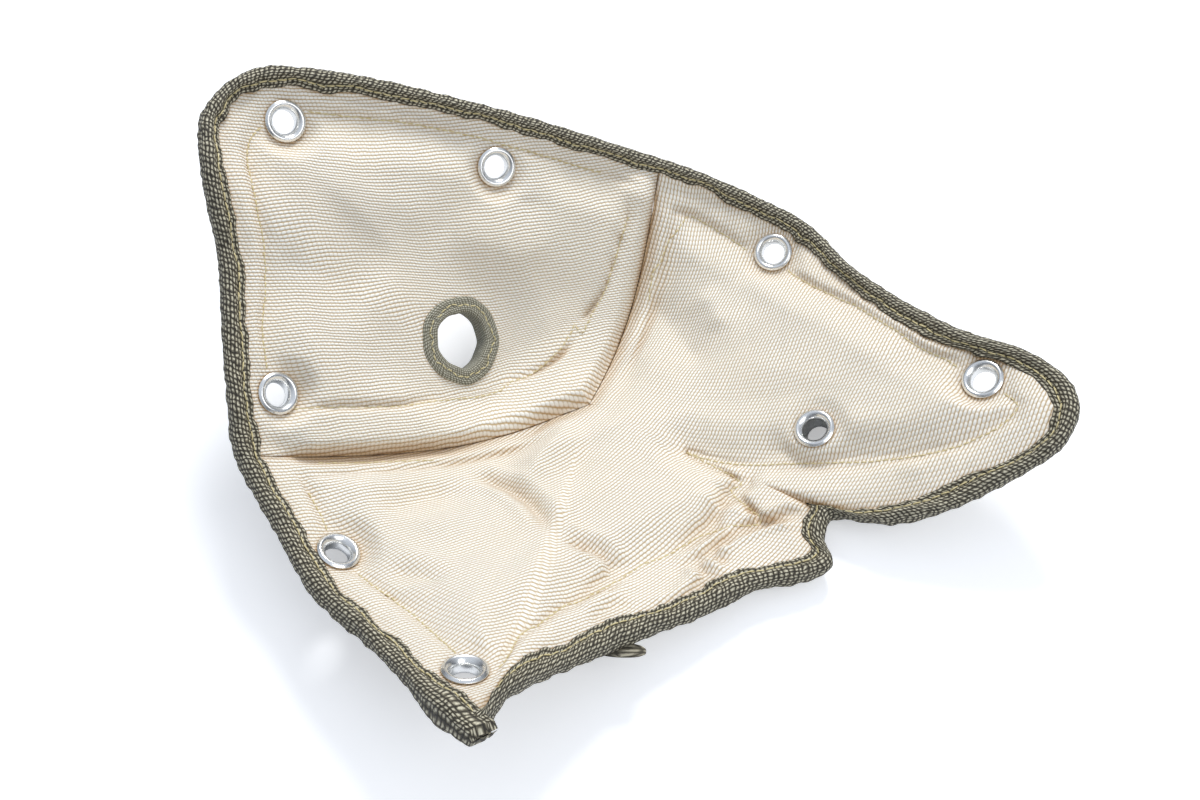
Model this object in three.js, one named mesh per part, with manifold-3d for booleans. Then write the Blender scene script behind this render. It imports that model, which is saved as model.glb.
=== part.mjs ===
// Turbo heat blanket: a quilted heat shield for a turbine housing, in millimetres, +Z up.
// It lies on its outer cover with the liner up, like a shallow dish. X runs from the high upper
// corner to the narrow tip and Y to the long straight edge. The origin is at the middle of its
// length and width, on the flat of its belly.
import * as THREE from 'three';
import { mergeVertices } from 'three/addons/utils/BufferGeometryUtils.js';
import Module from 'manifold-3d';

const wasm = await Module();
wasm.setup();

// Cloth, pads and tape
const coverThickness = 1.0;
const linerThickness = 1.0;
const upperPadThickness = 6.0;
const lowerPadThickness = 5.0;
const tapeThickness = 1.2;
const tapeFat = 0.4; // the fold stands a little fuller than flat tape
const sewnGap = 0.3; // clear space between neighbouring layers
const seamTuck = 1.2; // how far the cover is drawn in along the panel seams
const pocketRamp = 13; // distance over which a pad reaches its full height beside a seam

// Widths measured in from the outline of the bound edge
const bindingWidth = 7.4;
const padEdgeStep = 6; // from the plain margin to the edge of the pad

// Eyelets and their washers
const eyeletHoleDiameter = 8;
const eyeletFlangeDiameter = 14;
const eyeletWall = 0.6;
const eyeletRimHeight = 0.5;
const eyeletCrown = 1.3; // height of the rolled ring over the liner
const washerThickness = 0.6;
const washerSink = 0.2; // the washer's back is sunk around its bore, under the rolled tail
const eyeletClearance = 0.4; // from the flange to the binding and to the pocket
const seatSlack = 0.4; // room under a flat flange for the curve of the cloth

// Sensor hole and its binding
const sensorHoleDiameter = 18.6;
const sensorRingWidth = 5.8;
const sensorSlack = 1.2; // room under the flat ring for the curve of the cloth

// The belly: the cloth lies flat in the middle and rises towards the edge
const bellyRadius = 30; // flat to this distance from the junction of the seams
const bellyBlend = 5; // height over which the flat turns into the slope
const bowlPower = 1.9;
const bowlPowerDrop = 0.75; // a tall edge rises in a straighter line
const tallestEdge = 102;

// Outline of the bound edge, clockwise from above: x, y and height of the outer face
const edgePoints = [
  [-130, 43, 95], [-131, 58, 100], [-124, 72, 102], [-112, 81, 101], [-94, 86, 95],
  [-70, 90, 85], [-43, 93, 73], [-15, 96, 59], [22, 93, 46], [40, 91, 39],
  [61, 84, 33], [79, 73, 30], [92, 54, 30], [109, 33, 34], [125, 17, 39],
  [142, 6, 43], [154, -7, 46], [157, -21, 46], [150, -33, 40], [134, -40, 31],
  [116, -45, 21], [98, -46, 14], [86, -42, 10], [79, -41, 8], [76, -49, 8],
  [78, -58, 8], [69, -64, 8], [51, -69, 10], [32, -80, 13], [13, -90, 18],
  [-9, -105, 29], [-26, -121, 45], [-35, -135, 54], [-50, -124, 49], [-68, -103, 38],
  [-90, -81, 32], [-104, -59, 34], [-118, -37, 41], [-121, -21, 51], [-123, -3, 62],
  [-125, 19, 74], [-128, 32, 86],
];
const upperSeamEnd = 8; // edge point where the seam meets the long top edge
const leftSeamEnd = 37; // edge point where it meets the left edge
const cornerPoint = 32; // lower left corner, where the binding starts and ends
const seamJunction = new THREE.Vector2(-4, 11);
const upperSeamBend = new THREE.Vector2(6, -2); // sideways bow of each half of the seam
const leftSeamBend = new THREE.Vector2(1, -3);
const seamBendReach = 6; // edge points over which the cloth follows that bow
const bindingLap = 0.5; // how far the binding's end laps over its start, in edge points

// Eyelets along the edge: place in edge points, and how far each sits in beyond the common row
const edgeEyelets = {
  eyelet_1: [2.4, 2],
  eyelet_2: [5.9, 0],
  eyelet_3: [10.8, 0],
  eyelet_4: [15.8, 2.5],
  eyelet_6: [38.3, 0],
  eyelet_7: [35.35, 0],
  eyelet_8: [32.65, 2],
};
// One more goes through the quilt in the middle of the wing, at a share of the way out
const wingEyelet = { name: 'eyelet_5', place: 17.5, share: 0.51 };

// Sensor hole place: edge point that it faces, and share of the way out from the junction
const sensorPlace = 42.7;
const sensorReach = 0.4;

const spokesPerEdgePoint = 2;
const innerRings = [0.1, 0.25, 0.5, 0.75]; // shares of the way to the edge of the pad
const eyeletSides = 12;
const sensorSides = 24;

const edgeCurve = new THREE.CatmullRomCurve3(
  edgePoints.map((point) => new THREE.Vector3(...point)), true, 'catmullrom', 0.5);
const edgeCount = edgePoints.length;
const wrap = (place) => ((place % edgeCount) + edgeCount) % edgeCount;
const edgeAt = (place) => edgeCurve.getPoint(wrap(place) / edgeCount);
const ease = THREE.MathUtils.smoothstep;

// Sideways bow of the spoke that runs from the junction to one place on the edge
function spokeBend(place) {
  const bend = new THREE.Vector2();
  for (const [seam, bow] of [[upperSeamEnd, upperSeamBend], [leftSeamEnd, leftSeamBend]]) {
    const away = Math.abs(wrap(place - seam + edgeCount / 2) - edgeCount / 2);
    bend.addScaledVector(bow, 1 - ease(away, 0, seamBendReach));
  }
  return bend;
}

// Outer face of the blanket at a share of the way from the junction to the edge
function outerFace(place, share) {
  const edge = edgeAt(place);
  const end = new THREE.Vector2(edge.x, edge.y);
  const middle = seamJunction.clone().add(end).multiplyScalar(0.5).add(spokeBend(place));
  const plan = seamJunction.clone().multiplyScalar((1 - share) ** 2)
    .addScaledVector(middle, 2 * share * (1 - share))
    .addScaledVector(end, share ** 2);
  const power = bowlPower - bowlPowerDrop * edge.z / tallestEdge;
  const flat = (bellyRadius / seamJunction.distanceTo(end)) ** power;
  const full = (edge.z + bellyBlend / 2) / (1 - flat);
  const rise = full * (Math.max(share, 0) ** power - flat);
  let height = 0;
  if (rise > bellyBlend) height = rise - bellyBlend / 2;
  else if (rise > 0) height = rise ** 2 / (2 * bellyBlend);
  return new THREE.Vector3(plan.x, plan.y, height);
}

function outwardAt(place, share) {
  const step = 0.01;
  return outerFace(place, share + step).sub(outerFace(place, share - step)).normalize();
}

function liftAt(place, share) {
  if (share < 0.05) return new THREE.Vector3(0, 0, 1);
  const step = 0.25;
  const along = outerFace(place + step, share).sub(outerFace(place - step, share));
  return along.cross(outwardAt(place, share)).normalize();
}

const slantReach = 1; // edge points over which the run of the edge is averaged

// Share of the way out at which the cloth is a given width from its edge
function shareAtInset(place, inset) {
  const along = edgeAt(place + slantReach).sub(edgeAt(place - slantReach)).normalize();
  const slant = Math.max(along.cross(outwardAt(place, 1)).length(), 0.6);
  const spoke = outerFace(place, 1).distanceTo(outerFace(place, 0));
  return 1 - inset / (slant * spoke);
}

// A point on the cloth, at a height over the outer face; past the edge it carries straight on
function onCloth(place, share, height) {
  const held = Math.min(share, 1);
  const point = outerFace(place, held);
  if (share > 1) {
    const spoke = outerFace(place, 1).distanceTo(outerFace(place, 0));
    point.addScaledVector(outwardAt(place, 1), (share - 1) * spoke);
  }
  return point.addScaledVector(liftAt(place, held), height);
}

function geometryFrom(points, triangles) {
  const geometry = new THREE.BufferGeometry();
  geometry.setAttribute('position', new THREE.Float32BufferAttribute(points.flatMap((p) => p.toArray()), 3));
  geometry.setIndex(triangles.flat());
  return geometry;
}

// Panels: grids of spokes and rings between the two halves of the seam

const linerBase = coverThickness + sewnGap;
const edgeStack = linerBase + linerThickness;
const flangeRadius = eyeletFlangeDiameter / 2;
const clothInset = tapeThickness + tapeFat + sewnGap; // the cut edge of the cloth, inside the tape
const eyeletInset = bindingWidth + eyeletClearance + flangeRadius;
const plainMargin = eyeletInset + flangeRadius + eyeletClearance; // unpadded border
const padEdgeInset = plainMargin + padEdgeStep;

const panels = {
  upper: { from: leftSeamEnd, to: edgeCount + upperSeamEnd, pad: upperPadThickness },
  lower: { from: upperSeamEnd, to: leftSeamEnd, pad: lowerPadThickness },
};

function ringShares(place) {
  const padShare = shareAtInset(place, padEdgeInset);
  return [
    ...innerRings.map((ring) => ring * padShare),
    padShare,
    shareAtInset(place, plainMargin),
    shareAtInset(place, bindingWidth),
    shareAtInset(place, clothInset),
  ];
}

// Nothing in the plain margin, and 1 well inside it
function awayFromMargin(place, share) {
  const innerShare = shareAtInset(place, plainMargin + 2 * padEdgeStep);
  return 1 - ease(share, innerShare, shareAtInset(place, plainMargin));
}

// How full the pocket is at a point: nothing at the seam and in the plain margin
function fullness(panel, place, share) {
  const point = outerFace(place, share);
  const seamDistance = Math.min(...[panel.from, panel.to].map((seam) => {
    const samples = [0, 0.15, 0.3, 0.5, 0.7, 0.85, 1].map((part) => outerFace(seam, part));
    return Math.min(...samples.slice(1).map((end, index) => {
      const line = new THREE.Line3(samples[index], end);
      return line.closestPointToPoint(point, true, new THREE.Vector3()).distanceTo(point);
    }));
  }));
  return awayFromMargin(place, share) * ease(seamDistance, -pocketRamp / 3, pocketRamp)
    * Math.min(seamDistance, 1);
}

function tuckAt(panel, place, share) {
  const point = outerFace(place, share);
  const seams = [panel.from, panel.to].map((seam) => outerFace(seam, share).distanceTo(point));
  return seamTuck * awayFromMargin(place, share) * (1 - ease(Math.min(...seams), 0, pocketRamp / 2));
}

// Grid of one panel. Its first and last spokes stand back from the seam by half the gap.
function panelGrid(panel) {
  const spokes = [];
  const count = Math.round((panel.to - panel.from) * spokesPerEdgePoint);
  for (let index = 0; index <= count; index += 1) {
    const place = panel.from + (panel.to - panel.from) * index / count;
    spokes.push(ringShares(place).map((share) => ({
      place,
      share,
      base: outerFace(place, share),
      lift: liftAt(place, share),
      full: fullness(panel, place, share),
      tuck: tuckAt(panel, place, share),
    })));
  }
  for (const [seam, next] of [[spokes[0], spokes[1]], [spokes[count], spokes[count - 1]]]) {
    seam.forEach((node, ring) => {
      const inward = next[ring].base.clone().sub(node.base).setZ(0).normalize();
      node.base.addScaledVector(inward, sewnGap / 2);
    });
  }
  const middle = outerFace((panel.from + panel.to) / 2, 0.1).sub(outerFace(panel.from, 0)).setZ(0);
  const hub = {
    base: outerFace(panel.from, 0).addScaledVector(middle.normalize(), sewnGap),
    lift: new THREE.Vector3(0, 0, 1),
    full: 0,
    tuck: seamTuck,
  };
  return { hub, spokes };
}

// Closed solid between two heights over a grid, with or without the hub point
function layer(grid, bottomAt, topAt) {
  const points = [];
  const triangles = [];
  const put = (node) => {
    for (const height of [bottomAt(node), topAt(node)]) {
      points.push(node.base.clone().addScaledVector(node.lift, height + node.tuck));
    }
    return points.length - 2;
  };
  const hub = grid.hub ? put(grid.hub) : null;
  const rows = grid.spokes.map((spoke) => spoke.map(put));
  const face = (a, b, c) => {
    triangles.push([a + 1, b + 1, c + 1], [a, c, b]);
  };
  const wall = (a, b) => {
    triangles.push([a, b + 1, a + 1], [a, b, b + 1]);
  };
  const outer = rows[0].length - 1;
  for (let row = 0; row < rows.length - 1; row += 1) {
    const here = rows[row];
    const next = rows[row + 1];
    if (hub !== null) face(hub, next[0], here[0]);
    else wall(here[0], next[0]);
    for (let ring = 0; ring < outer; ring += 1) {
      face(here[ring], next[ring], next[ring + 1]);
      face(here[ring], next[ring + 1], here[ring + 1]);
    }
    wall(next[outer], here[outer]);
  }
  const first = rows[0];
  const last = rows[rows.length - 1];
  if (hub !== null) {
    wall(first[0], hub);
    wall(hub, last[0]);
  }
  for (let ring = 0; ring < outer; ring += 1) {
    wall(first[ring + 1], first[ring]);
    wall(last[ring], last[ring + 1]);
  }
  return geometryFrom(points, triangles);
}

const padRoom = (panel, node) => (panel.pad + sewnGap) * node.full;
const layers = {
  outer_cover: (panel, grid) => layer(grid, () => 0, () => coverThickness),
  insulation_pad: (panel, grid) => {
    const padRings = innerRings.length + 1;
    const inner = grid.spokes.slice(1, -1).map((spoke) => spoke.slice(1, padRings));
    return layer({ spokes: inner }, () => linerBase, (node) => linerBase - 1.5 * sewnGap + padRoom(panel, node));
  },
  liner_panel: (panel, grid) => layer(grid, (node) => linerBase + padRoom(panel, node),
    (node) => linerBase + padRoom(panel, node) + linerThickness),
};

// Edge binding: the section of the folded tape as pairs of outer and inner points,
// each a distance in from the edge and a height over the outer face
const tapeLow = -sewnGap;
const tapeHigh = edgeStack + sewnGap;
const tapeMiddle = edgeStack / 2;
const foldInset = clothInset - sewnGap; // inner face of the fold
const bindingSection = [
  [[bindingWidth, tapeHigh + tapeThickness], [bindingWidth, tapeHigh]],
  [[bindingWidth / 2, tapeHigh + tapeThickness + tapeFat], [bindingWidth / 2, tapeHigh]],
  [[foldInset / 2, tapeHigh + tapeThickness], [foldInset, tapeHigh]],
  [[0, tapeMiddle], [foldInset, tapeMiddle]],
  [[foldInset / 2, tapeLow - tapeThickness], [foldInset, tapeLow]],
  [[bindingWidth, tapeLow - tapeThickness], [bindingWidth, tapeLow]],
];

function bindingGeometry() {
  const steps = edgeCount * spokesPerEdgePoint + Math.round(bindingLap * spokesPerEdgePoint);
  const loop = [...bindingSection.map((pair) => pair[0]), ...bindingSection.map((pair) => pair[1]).reverse()];
  const points = [];
  for (let step = 0; step <= steps; step += 1) {
    const turn = step / spokesPerEdgePoint;
    const place = cornerPoint - turn;
    // the end of the tape climbs over its own start at the corner
    const over = ease(turn, edgeCount - 1.5, edgeCount - 0.5) * (tapeThickness + tapeFat + sewnGap);
    for (const [inset, height] of loop) {
      const away = Math.sign(height - tapeMiddle);
      const share = shareAtInset(place, inset - (inset <= foldInset ? over : 0));
      points.push(onCloth(place, share, height + away * over));
    }
  }
  const around = loop.length;
  const triangles = [];
  for (let step = 0; step < steps; step += 1) {
    for (let side = 0; side < around; side += 1) {
      const a = step * around + side;
      const b = step * around + (side + 1) % around;
      triangles.push([a, b, b + around], [a, b + around, a + around]);
    }
  }
  const pairs = bindingSection.length;
  for (let pair = 0; pair < pairs - 1; pair += 1) {
    const outerPair = [pair, pair + 1];
    const innerPair = [around - 1 - pair, around - 2 - pair];
    triangles.push([outerPair[0], innerPair[0], innerPair[1]], [outerPair[0], innerPair[1], outerPair[1]]);
    const last = steps * around;
    triangles.push([last + outerPair[0], last + innerPair[1], last + innerPair[0]]);
    triangles.push([last + outerPair[0], last + outerPair[1], last + innerPair[1]]);
  }
  return geometryFrom(points, triangles);
}

// Eyelets, washers and the binding of the sensor hole are turned about their own axes.
// A profile is a closed list of radius and height; its height 0 is the liner's upper face.

function turned(profile, sides) {
  const closed = [...profile, profile[0]].reverse().map(([radius, height]) => new THREE.Vector2(radius, height));
  return new THREE.LatheGeometry(closed, sides).rotateX(Math.PI / 2);
}

const holeRadius = eyeletHoleDiameter / 2;
const barrelRadius = holeRadius + eyeletWall;
const rollRadius = barrelRadius + eyeletWall;
const washerBore = barrelRadius + sewnGap;
const crownInset = 0.15 * flangeRadius;
const flangeSeat = seatSlack;
const flangeEdge = flangeSeat + eyeletRimHeight;
const flangeCrown = flangeSeat + eyeletCrown;
const washerFaceUnder = (stack) => -stack - seatSlack;

// The barrel goes through the stack of cloth, and its tail is rolled into the washer's sunk back
function eyeletProfile(stack) {
  const tail = washerFaceUnder(stack) - washerThickness - sewnGap;
  return [
    [holeRadius, tail],
    [holeRadius, flangeEdge],
    [holeRadius + crownInset, flangeCrown],
    [flangeRadius - crownInset, flangeCrown - eyeletRimHeight / 4],
    [flangeRadius, flangeEdge],
    [flangeRadius, flangeSeat],
    [barrelRadius, flangeSeat],
    [barrelRadius, tail],
    [rollRadius, tail],
    [rollRadius, tail - eyeletWall / 2],
    [barrelRadius, tail - eyeletWall],
  ];
}

function washerProfile(stack) {
  const face = washerFaceUnder(stack);
  return [
    [washerBore, face - washerThickness + washerSink],
    [washerBore, face],
    [flangeRadius, face],
    [flangeRadius, face - washerThickness / 2],
    [flangeRadius - washerThickness / 2, face - washerThickness],
    [rollRadius + sewnGap, face - washerThickness],
  ];
}

// Sensor hole binding: tape folded over the cut edges of cover, pad and liner
const sensorRadius = sensorHoleDiameter / 2;
const sensorCollar = sensorRadius + tapeThickness;
const sensorRingRadius = sensorRadius + sensorRingWidth;
const quiltStack = edgeStack + upperPadThickness + sewnGap;
const ringHigh = quiltStack + sensorSlack;
const ringLow = -sewnGap;
const sensorProfile = [
  [sensorRadius, ringLow],
  [sensorRadius, ringHigh],
  [sensorRadius + tapeThickness / 2, ringHigh + tapeThickness],
  [sensorRingRadius - tapeThickness / 2, ringHigh + tapeThickness],
  [sensorRingRadius, ringHigh + tapeThickness / 2],
  [sensorRingRadius, ringHigh],
  [sensorCollar, ringHigh],
  [sensorCollar, ringLow],
  [sensorRingRadius, ringLow],
  [sensorRingRadius, ringLow - tapeThickness / 2],
  [sensorRingRadius - tapeThickness / 2, ringLow - tapeThickness],
  [sensorRadius + tapeThickness / 2, ringLow - tapeThickness],
];

// Turn a piece so that its axis stands square to the cloth at a place
function seatOn(object, place, share, height) {
  object.position.copy(onCloth(place, share, height));
  object.quaternion.setFromUnitVectors(new THREE.Vector3(0, 0, 1), liftAt(place, share));
  object.updateMatrixWorld(true);
}

// Cuts are made with closed solids

function solidFrom(geometry) {
  const bare = geometry.clone();
  bare.deleteAttribute('normal');
  bare.deleteAttribute('uv');
  const merged = mergeVertices(bare, 1e-4);
  return new wasm.Manifold(new wasm.Mesh({
    numProp: 3,
    vertProperties: new Float32Array(merged.attributes.position.array),
    triVerts: new Uint32Array(merged.index.array),
  }));
}

function geometryOf(solid) {
  const mesh = solid.getMesh();
  const geometry = new THREE.BufferGeometry();
  geometry.setAttribute('position', new THREE.Float32BufferAttribute(mesh.vertProperties, 3));
  geometry.setIndex([...mesh.triVerts]);
  return geometry;
}

// Solid of revolution that clears a turned piece, placed where the piece sits
function cutter(radius, low, high, sides, seat) {
  const profile = [[0, low], [radius, low], [radius, high], [0, high]];
  const points = profile.map(([r, height]) => new THREE.Vector2(r, height));
  const geometry = new THREE.LatheGeometry(points, sides).rotateX(Math.PI / 2);
  return solidFrom(geometry.applyMatrix4(seat.matrixWorld));
}

// Build the blanket

const blanket = new THREE.Group();
const materials = {
  liner: new THREE.MeshStandardMaterial({ color: 0xebddc3, roughness: 0.85, metalness: 0 }),
  pad: new THREE.MeshStandardMaterial({ color: 0xf2efe6, roughness: 0.95, metalness: 0 }),
  cover: new THREE.MeshStandardMaterial({ color: 0x8b8678, roughness: 0.8, metalness: 0 }),
  tape: new THREE.MeshStandardMaterial({ color: 0x827b66, roughness: 0.85, metalness: 0 }),
  ringTape: new THREE.MeshStandardMaterial({ color: 0x8f8c7b, roughness: 0.85, metalness: 0 }),
  steel: new THREE.MeshStandardMaterial({ color: 0xd8d8d8, roughness: 0.15, metalness: 1 }),
};

function addMesh(name, geometry, material) {
  const mesh = new THREE.Mesh(geometry, material);
  mesh.name = name;
  mesh.material.side = THREE.FrontSide;
  blanket.add(mesh);
  return mesh;
}

const cutters = { outer_cover: [], insulation_pad: [], liner_panel: [] };
const farSide = 20;

function addEyelet(name, place, share, stack) {
  const eyelet = addMesh(name, turned(eyeletProfile(stack), eyeletSides), materials.steel);
  const washer = addMesh(name.replace('_', '_washer_'), turned(washerProfile(stack), eyeletSides), materials.steel);
  for (const piece of [eyelet, washer]) seatOn(piece, place, share, stack);
  const face = washerFaceUnder(stack);
  const hole = cutter(washerBore, -farSide, farSide, eyeletSides, eyelet);
  const above = cutter(flangeRadius + sewnGap, flangeSeat - sewnGap, farSide, eyeletSides, eyelet);
  const below = cutter(flangeRadius + sewnGap, -farSide, face + sewnGap, eyeletSides, eyelet);
  cutters.outer_cover.push(hole, below);
  cutters.liner_panel.push(hole, above);
  cutters.insulation_pad.push(cutter(flangeRadius + sewnGap, -farSide, farSide, eyeletSides, eyelet));
}

for (const [name, [place, extraInset]] of Object.entries(edgeEyelets)) {
  addEyelet(name, place, shareAtInset(place, eyeletInset + extraInset), edgeStack);
}
const wingStack = edgeStack + lowerPadThickness + sewnGap;
addEyelet(wingEyelet.name, wingEyelet.place, wingEyelet.share, wingStack);

const sensorRing = addMesh('sensor_hole_binding', turned(sensorProfile, sensorSides), materials.ringTape);
seatOn(sensorRing, sensorPlace, sensorReach, 0);
const sensorHole = cutter(sensorCollar + sewnGap, -farSide, farSide, sensorSides, sensorRing);
const sensorTop = cutter(sensorRingRadius + sewnGap, ringHigh - sewnGap, farSide, sensorSides, sensorRing);
const sensorBack = cutter(sensorRingRadius + sewnGap, -farSide, ringLow + sewnGap, sensorSides, sensorRing);
cutters.outer_cover.push(sensorHole, sensorBack);
cutters.liner_panel.push(sensorHole, sensorTop);
cutters.insulation_pad.push(sensorHole, sensorTop, sensorBack);

const layerMaterials = {
  outer_cover: materials.cover,
  insulation_pad: materials.pad,
  liner_panel: materials.liner,
};
for (const [side, panel] of Object.entries(panels)) {
  const grid = panelGrid(panel);
  for (const [kind, make] of Object.entries(layers)) {
    let solid = solidFrom(make(panel, grid));
    for (const tool of cutters[kind]) solid = solid.subtract(tool);
    addMesh(`${kind}_${side}`, geometryOf(solid), layerMaterials[kind]);
  }
}
addMesh('edge_binding', bindingGeometry(), materials.tape);

const extent = new THREE.Box3().setFromObject(blanket);
const centre = extent.getCenter(new THREE.Vector3());
blanket.position.set(-centre.x, -centre.y, -extent.min.z);

export default blanket;
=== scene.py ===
import math

import bpy
import numpy as np
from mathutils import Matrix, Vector
from mathutils.bvhtree import BVHTree


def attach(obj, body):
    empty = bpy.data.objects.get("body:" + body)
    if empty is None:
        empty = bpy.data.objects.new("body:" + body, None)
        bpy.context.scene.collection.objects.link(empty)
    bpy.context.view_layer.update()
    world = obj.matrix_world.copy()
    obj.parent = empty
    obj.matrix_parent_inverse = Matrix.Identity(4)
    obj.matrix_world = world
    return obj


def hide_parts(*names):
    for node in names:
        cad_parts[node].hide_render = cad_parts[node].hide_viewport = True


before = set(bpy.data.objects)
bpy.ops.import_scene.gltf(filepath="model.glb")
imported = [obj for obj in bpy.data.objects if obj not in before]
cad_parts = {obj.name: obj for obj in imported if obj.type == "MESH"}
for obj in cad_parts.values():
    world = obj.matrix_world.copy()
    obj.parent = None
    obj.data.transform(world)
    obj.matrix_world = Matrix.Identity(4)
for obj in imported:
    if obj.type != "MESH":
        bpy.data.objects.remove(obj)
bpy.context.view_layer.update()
print("frame loaded")

# Turbo heat blanket. Lengths are millimetres in the blanket's own layout, where the seams meet
# near 0, 0. toWorld turns them to metres and moves them to the frame's origin.

blanket = {
    "originShift": (-12.74, 20.71, 0.0),  # from the layout's 0, 0 to the middle of the length and width
    "coverThickness": 1.0,
    "linerThickness": 1.0,
    "padThickness": {"upper": 6.0, "lower": 5.0},
    "sewnGap": 0.3,
    "clothInset": 1.9,  # the cut edge of the cloth, inside the fold of the tape
    "bindingWidth": 7.4,
    "bellyRadius": 30.0,
    "bellyBlend": 5.0,
    "bowlPower": 1.9,
    "bowlPowerDrop": 0.75,
    "tallestEdge": 102.0,
    "junction": (-4.0, 11.0),
    "seamBows": {8.0: (6.0, -2.0), 37.0: (1.0, -3.0)},
    "seamBowReach": 6.0,
    "panels": {"upper": (37.0, 50.0), "lower": (8.0, 37.0)},
    "cornerPlace": 32.0,
}

# Outline of the bound edge, clockwise from above: x, y and height of the outer face
edgePoints = np.array([
    (-130, 43, 95), (-131, 58, 100), (-124, 72, 102), (-112, 81, 101), (-94, 86, 95),
    (-70, 90, 85), (-43, 93, 73), (-15, 96, 59), (22, 93, 46), (40, 91, 39),
    (61, 84, 33), (79, 73, 30), (92, 54, 30), (109, 33, 34), (125, 17, 39),
    (142, 6, 43), (154, -7, 46), (157, -21, 46), (150, -33, 40), (134, -40, 31),
    (116, -45, 21), (98, -46, 14), (86, -42, 10), (79, -41, 8), (76, -49, 8),
    (78, -58, 8), (69, -64, 8), (51, -69, 10), (32, -80, 13), (13, -90, 18),
    (-9, -105, 29), (-26, -121, 45), (-35, -135, 54), (-50, -124, 49), (-68, -103, 38),
    (-90, -81, 32), (-104, -59, 34), (-118, -37, 41), (-121, -21, 51), (-123, -3, 62),
    (-125, 19, 74), (-128, 32, 86)], dtype=float)
edgeCount = len(edgePoints)
junction = np.array(blanket["junction"])
linerBase = blanket["coverThickness"] + blanket["sewnGap"]
edgeStack = linerBase + blanket["linerThickness"]

eyelets = {
    "holeRadius": 4.0,
    "flangeRadius": 7.0,
    "clearance": 0.4,
    "row": {"eyelet_1": (2.4, 2.0), "eyelet_2": (5.9, 0.0), "eyelet_3": (10.8, 0.0),
            "eyelet_4": (15.8, 2.5), "eyelet_6": (38.3, 0.0), "eyelet_7": (35.35, 0.0),
            "eyelet_8": (32.65, 2.0)},  # place along the edge, and how far in beyond the row
    "wing": {"eyelet_5": (17.5, 0.51)},  # place along the edge, and share of the way out
}
sensorHole = {"place": 42.7, "share": 0.40, "radius": 9.3, "lean": (-0.03, -0.22, -0.06)}


def toWorld(points):
    return (np.asarray(points) + np.array(blanket["originShift"])) / 1000


def ease(value, low, high):
    t = np.clip((value - low) / (high - low), 0, 1)
    return t * t * (3 - 2 * t)


def unit(vectors):
    return vectors / np.maximum(np.linalg.norm(vectors, axis=-1, keepdims=True), 1e-9)


def edgeAt(place):
    place = np.asarray(place, dtype=float) % edgeCount
    index = np.floor(place).astype(int)
    t = (place - index)[..., None]
    p0, p1, p2, p3 = (edgePoints[(index + k) % edgeCount] for k in (-1, 0, 1, 2))
    m1, m2 = (p2 - p0) / 2, (p3 - p1) / 2
    return ((2 * t**3 - 3 * t**2 + 1) * p1 + (t**3 - 2 * t**2 + t) * m1
            + (-2 * t**3 + 3 * t**2) * p2 + (t**3 - t**2) * m2)


def outerFace(place, share):  # outer face of the blanket, from the junction (0) to the edge (1)
    place, share = np.broadcast_arrays(np.asarray(place, float), np.asarray(share, float))
    edge = edgeAt(place)
    end = edge[..., :2]
    bow = np.zeros_like(end)
    for seam, vector in blanket["seamBows"].items():
        away = np.abs((place - seam + edgeCount / 2) % edgeCount - edgeCount / 2)
        bow += (1 - ease(away, 0, blanket["seamBowReach"]))[..., None] * np.array(vector)
    s = share[..., None]
    middle = (junction + end) / 2 + bow
    plan = junction * (1 - s)**2 + middle * 2 * s * (1 - s) + end * s**2
    power = blanket["bowlPower"] - blanket["bowlPowerDrop"] * edge[..., 2] / blanket["tallestEdge"]
    flat = (blanket["bellyRadius"] / np.linalg.norm(end - junction, axis=-1))**power
    blend = blanket["bellyBlend"]
    rise = (edge[..., 2] + blend / 2) / (1 - flat) * (np.maximum(share, 0)**power - flat)
    height = np.where(rise > blend, rise - blend / 2, np.where(rise > 0, rise**2 / (2 * blend), 0))
    return np.concatenate([plan, height[..., None]], axis=-1)


def outwardAt(place, share):
    return unit(outerFace(place, share + 0.01) - outerFace(place, share - 0.01))


def liftAt(place, share):
    share = np.maximum(share, 0.05)
    along = outerFace(place + 0.25, share) - outerFace(place - 0.25, share)
    return unit(np.cross(along, outwardAt(place, share)))


def spokeScale(place):  # millimetres of distance from the edge for each whole share
    along = unit(edgeAt(place + 1) - edgeAt(place - 1))
    slant = np.linalg.norm(np.cross(along, outwardAt(place, 1)), axis=-1)
    spoke = np.linalg.norm(outerFace(place, 1) - outerFace(place, 0), axis=-1)
    return np.maximum(slant, 0.6) * spoke


def shareAtInset(place, inset):
    return 1 - inset / spokeScale(place)


def onCloth(place, share, height):  # past the edge it carries straight on
    place, share, height = np.broadcast_arrays(*(np.asarray(v, float) for v in (place, share, height)))
    held = np.minimum(share, 1)
    spoke = np.linalg.norm(outerFace(place, 1) - outerFace(place, 0), axis=-1)
    beyond = outwardAt(place, 1) * ((share - held) * spoke)[..., None]
    return outerFace(place, held) + beyond + liftAt(place, held) * height[..., None]


# Small tools

def linear(hexColor):
    channels = [int(hexColor[i:i + 2], 16) / 255 for i in (1, 3, 5)]
    return tuple(c / 12.92 if c <= 0.04045 else ((c + 0.055) / 1.055)**2.4 for c in channels) + (1.0,)


def feed(tree, node, inputs):  # a node stands for its first output
    for name, value in inputs.items():
        if isinstance(value, bpy.types.Node):
            value = value.outputs[0]
        if isinstance(value, bpy.types.NodeSocket):
            tree.links.new(value, node.inputs[name])
        else:
            node.inputs[name].default_value = value


def addNode(tree, kind, inputs=None, **settings):
    node = tree.nodes.new("ShaderNode" + kind)
    for name, value in settings.items():
        setattr(node, name, value)
    feed(tree, node, inputs or {})
    return node


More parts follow.
